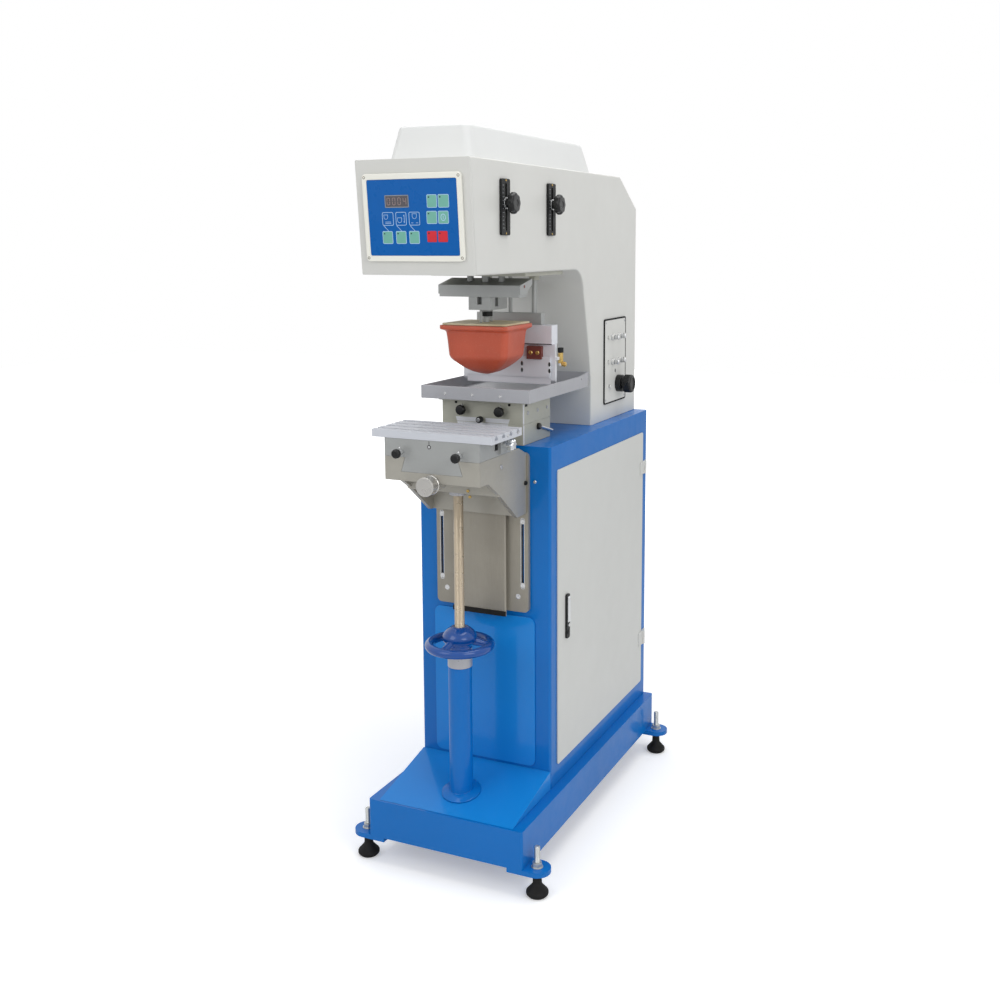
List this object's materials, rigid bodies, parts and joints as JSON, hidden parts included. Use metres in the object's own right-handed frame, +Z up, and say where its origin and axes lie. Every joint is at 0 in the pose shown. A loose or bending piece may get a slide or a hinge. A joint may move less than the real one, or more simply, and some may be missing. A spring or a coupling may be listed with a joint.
{
  "type": "pad printing machine",
  "caption": "Free-standing pneumatic pad printer: C-shaped head with red silicone pad and doctor blade over an open ink tray, knee with T-slot table, steel cabinet with door and handwheel.",
  "frame": {"origin": "on the floor under the centre of the bounding box", "axes": "+X to the right of the operator, +Y from the front to the back, +Z up"},
  "size_m": [0.45, 0.9076, 1.5123],
  "materials": {
    "blue_enamel": "satin powder coat",
    "cover_blue": "satin powder coat",
    "wheel_blue": "glossy enamel",
    "white_enamel": "satin powder coat",
    "machined_steel": "milled and ground",
    "ground_steel": "fine ground",
    "aluminium": "milled, clear anodised",
    "chrome": "polished",
    "brass": "nickel-grey brass",
    "black_plastic": "satin moulded",
    "black_rubber": "matt, on a zinc-plated stud",
    "membrane_blue": "satin film",
    "silicone_red": "smooth silicone",
    "pale_wood": "sanded birch plywood",
    "grey_plastic": "satin moulded"
  },
  "bodies": {
    "frame": {"base_frame": "blue_enamel", "slope_cover": "cover_blue", "cabinet_shell": "blue_enamel", "front_cover": "cover_blue", "hinge_lower": "white_enamel", "hinge_upper": "white_enamel", "head_housing": "white_enamel", "top_cover": "white_enamel", "control_bezel": "white_enamel", "membrane_panel": "membrane_blue", "scale_plate_front": "black_plastic", "scale_plate_back": "black_plastic", "pneumatic_panel": "white_enamel", "guide_plate": "machined_steel", "screw_tube": "cover_blue", "thrust_collar": "ground_steel", "bed_base": "machined_steel", "slide_frame": "machined_steel", "carriage_cylinder": "aluminium", "control_box": "grey_plastic", "valve_manifold": "aluminium", "service_plate": "black_plastic"},
    "knee": {"knee_bracket": "machined_steel", "lead_screw": "ground_steel"},
    "handwheel": {"handwheel": "wheel_blue"},
    "cross_slide": {"cross_slide": "machined_steel"},
    "cross_knob": {"cross_knob": "aluminium"},
    "table": {"t_slot_table": "aluminium"},
    "star_knob": {"star_knob": "chrome"},
    "table_clamp_left": {"table_clamp_left": "black_plastic"},
    "table_clamp_right": {"table_clamp_right": "black_plastic"},
    "bed": {"bed_slide": "machined_steel", "ink_tray": "ground_steel", "cliche_plate": "ground_steel"},
    "bed_knob": {"bed_knob": "black_plastic"},
    "bed_clamp_left": {"bed_clamp_left": "black_plastic"},
    "bed_clamp_right": {"bed_clamp_right": "black_plastic"},
    "carriage": {"carriage": "machined_steel"},
    "pad_head": {"pad_rail": "machined_steel", "pad_adaptor": "machined_steel", "pad_base": "pale_wood", "silicone_pad": "silicone_red"},
    "blade_unit": {"scraper_bar": "machined_steel", "scraper_holder": "aluminium", "doctor_blade": "ground_steel"},
    "door": {"door_panel": "white_enamel", "lock_body": "black_plastic"},
    "lock_lever": {"lock_lever": "chrome"},
    "lock_button": {"lock_button": "ground_steel"},
    "stroke_knob_front": {"stroke_knob_front": "black_plastic"},
    "stroke_knob_back": {"stroke_knob_back": "black_plastic"},
    "regulator_knob": {"regulator_knob": "black_plastic"},
    "flow_knob_1": {"flow_knob_1": "brass"},
    "flow_knob_2": {"flow_knob_2": "brass"},
    "flow_knob_3": {"flow_knob_3": "brass"},
    "flow_knob_4": {"flow_knob_4": "brass"},
    "foot_front_left": {"foot_front_left": "black_rubber"},
    "foot_front_right": {"foot_front_right": "black_rubber"},
    "foot_back_left": {"foot_back_left": "black_rubber"},
    "foot_back_right": {"foot_back_right": "black_rubber"}
  },
  "joints": [
    {"name": "knee_lift", "type": "slide", "parent": "frame", "child": "knee", "axis": [0, 0, 1], "range_m": [-0.2, 0.048]},
    {"name": "handwheel_turn", "type": "hinge", "parent": "frame", "child": "handwheel", "pos_m": [0, -0.28252, 0.474], "axis": [0, 0, 1], "range_deg": [-1728, 7200]},
    {"name": "cross_travel", "type": "slide", "parent": "knee", "child": "cross_slide", "axis": [0, 1, 0], "range_m": [-0.03, 0.03]},
    {"name": "cross_knob_turn", "type": "hinge", "parent": "knee", "child": "cross_knob", "pos_m": [0, -0.39052, 0.8305], "axis": [0, 1, 0], "range_deg": [-5400, 5400]},
    {"name": "table_travel", "type": "slide", "parent": "cross_slide", "child": "table", "axis": [1, 0, 0], "range_m": [-0.04, 0.04]},
    {"name": "star_knob_turn", "type": "hinge", "parent": "cross_slide", "child": "star_knob", "pos_m": [0.111, -0.29751, 0.903], "axis": [1, 0, 0], "range_deg": [-7200, 7200]},
    {"name": "table_clamp_left_turn", "type": "hinge", "parent": "cross_slide", "child": "table_clamp_left", "pos_m": [-0.0645, -0.39052, 0.89], "axis": [0, 1, 0], "range_deg": [-60, 60]},
    {"name": "table_clamp_right_turn", "type": "hinge", "parent": "cross_slide", "child": "table_clamp_right", "pos_m": [0.0645, -0.39052, 0.89], "axis": [0, 1, 0], "range_deg": [-60, 60]},
    {"name": "bed_trim", "type": "slide", "parent": "frame", "child": "bed", "axis": [0, 1, 0], "range_m": [-0.008, 0.008]},
    {"name": "bed_knob_turn", "type": "hinge", "parent": "frame", "child": "bed_knob", "pos_m": [0, -0.17102, 0.929], "axis": [0, 1, 0], "range_deg": [-1440, 1440]},
    {"name": "bed_clamp_left_turn", "type": "hinge", "parent": "bed", "child": "bed_clamp_left", "pos_m": [-0.0445, -0.17102, 0.947], "axis": [0, 1, 0], "range_deg": [-60, 60]},
    {"name": "bed_clamp_right_turn", "type": "hinge", "parent": "bed", "child": "bed_clamp_right", "pos_m": [0.0445, -0.17102, 0.947], "axis": [0, 1, 0], "range_deg": [-60, 60]},
    {"name": "carriage_stroke", "type": "slide", "parent": "frame", "child": "carriage", "axis": [0, 1, 0], "range_m": [-0.15, 0]},
    {"name": "pad_stroke", "type": "slide", "parent": "carriage", "child": "pad_head", "axis": [0, 0, 1], "range_m": [-0.039, 0]},
    {"name": "blade_stroke", "type": "slide", "parent": "carriage", "child": "blade_unit", "axis": [0, 0, 1], "range_m": [-0.0085, 0]},
    {"name": "door_swing", "type": "hinge", "parent": "frame", "child": "door", "pos_m": [0.1592, 0.40648, 0.505], "axis": [0, 0, 1], "range_deg": [0, 110]},
    {"name": "lock_lever_swing", "type": "hinge", "parent": "door", "child": "lock_lever", "pos_m": [0.1609, -0.09001, 0.5415], "axis": [0, -1, 0], "range_deg": [0, 35]},
    {"name": "lock_button_push", "type": "slide", "parent": "door", "child": "lock_button", "axis": [-1, 0, 0], "range_m": [0, 0.0025], "stiffness_N_per_m": 300, "springref_m": -0.001},
    {"name": "stroke_knob_front_slide", "type": "slide", "parent": "frame", "child": "stroke_knob_front", "axis": [0, 0, 1], "range_m": [-0.035, 0.025]},
    {"name": "stroke_knob_back_slide", "type": "slide", "parent": "frame", "child": "stroke_knob_back", "axis": [0, 0, 1], "range_m": [-0.035, 0.025]},
    {"name": "regulator_knob_turn", "type": "hinge", "parent": "frame", "child": "regulator_knob", "pos_m": [0.142, 0.30213, 0.958], "axis": [1, 0, 0], "range_deg": [-540, 540]},
    {"name": "flow_knob_1_turn", "type": "hinge", "parent": "frame", "child": "flow_knob_1", "pos_m": [0.132, 0.26214, 1.071], "axis": [1, 0, 0], "range_deg": [-1800, 1800]},
    {"name": "flow_knob_2_turn", "type": "hinge", "parent": "frame", "child": "flow_knob_2", "pos_m": [0.132, 0.30663, 1.071], "axis": [1, 0, 0], "range_deg": [-1800, 1800]},
    {"name": "flow_knob_3_turn", "type": "hinge", "parent": "frame", "child": "flow_knob_3", "pos_m": [0.132, 0.26214, 1.013], "axis": [1, 0, 0], "range_deg": [-1800, 1800]},
    {"name": "flow_knob_4_turn", "type": "hinge", "parent": "frame", "child": "flow_knob_4", "pos_m": [0.132, 0.30663, 1.013], "axis": [1, 0, 0], "range_deg": [-1800, 1800]},
    {"name": "foot_front_left_turn", "type": "hinge", "parent": "frame", "child": "foot_front_left", "pos_m": [-0.197, -0.33552, 0], "axis": [0, 0, 1], "continuous": true},
    {"name": "foot_front_right_turn", "type": "hinge", "parent": "frame", "child": "foot_front_right", "pos_m": [0.197, -0.33552, 0], "axis": [0, 0, 1], "continuous": true},
    {"name": "foot_back_left_turn", "type": "hinge", "parent": "frame", "child": "foot_back_left", "pos_m": [-0.197, 0.40648, 0], "axis": [0, 0, 1], "continuous": true},
    {"name": "foot_back_right_turn", "type": "hinge", "parent": "frame", "child": "foot_back_right", "pos_m": [0.197, 0.40648, 0], "axis": [0, 0, 1], "continuous": true}
  ],
  "couplings": [
    {"joint": "handwheel_turn", "follows": "knee_lift", "rad_per_m": -628.32},
    {"joint": "cross_knob_turn", "follows": "cross_travel", "rad_per_m": -3141.6},
    {"joint": "star_knob_turn", "follows": "table_travel", "rad_per_m": -3141.6},
    {"joint": "bed_knob_turn", "follows": "bed_trim", "rad_per_m": -3141.6}
  ]
}
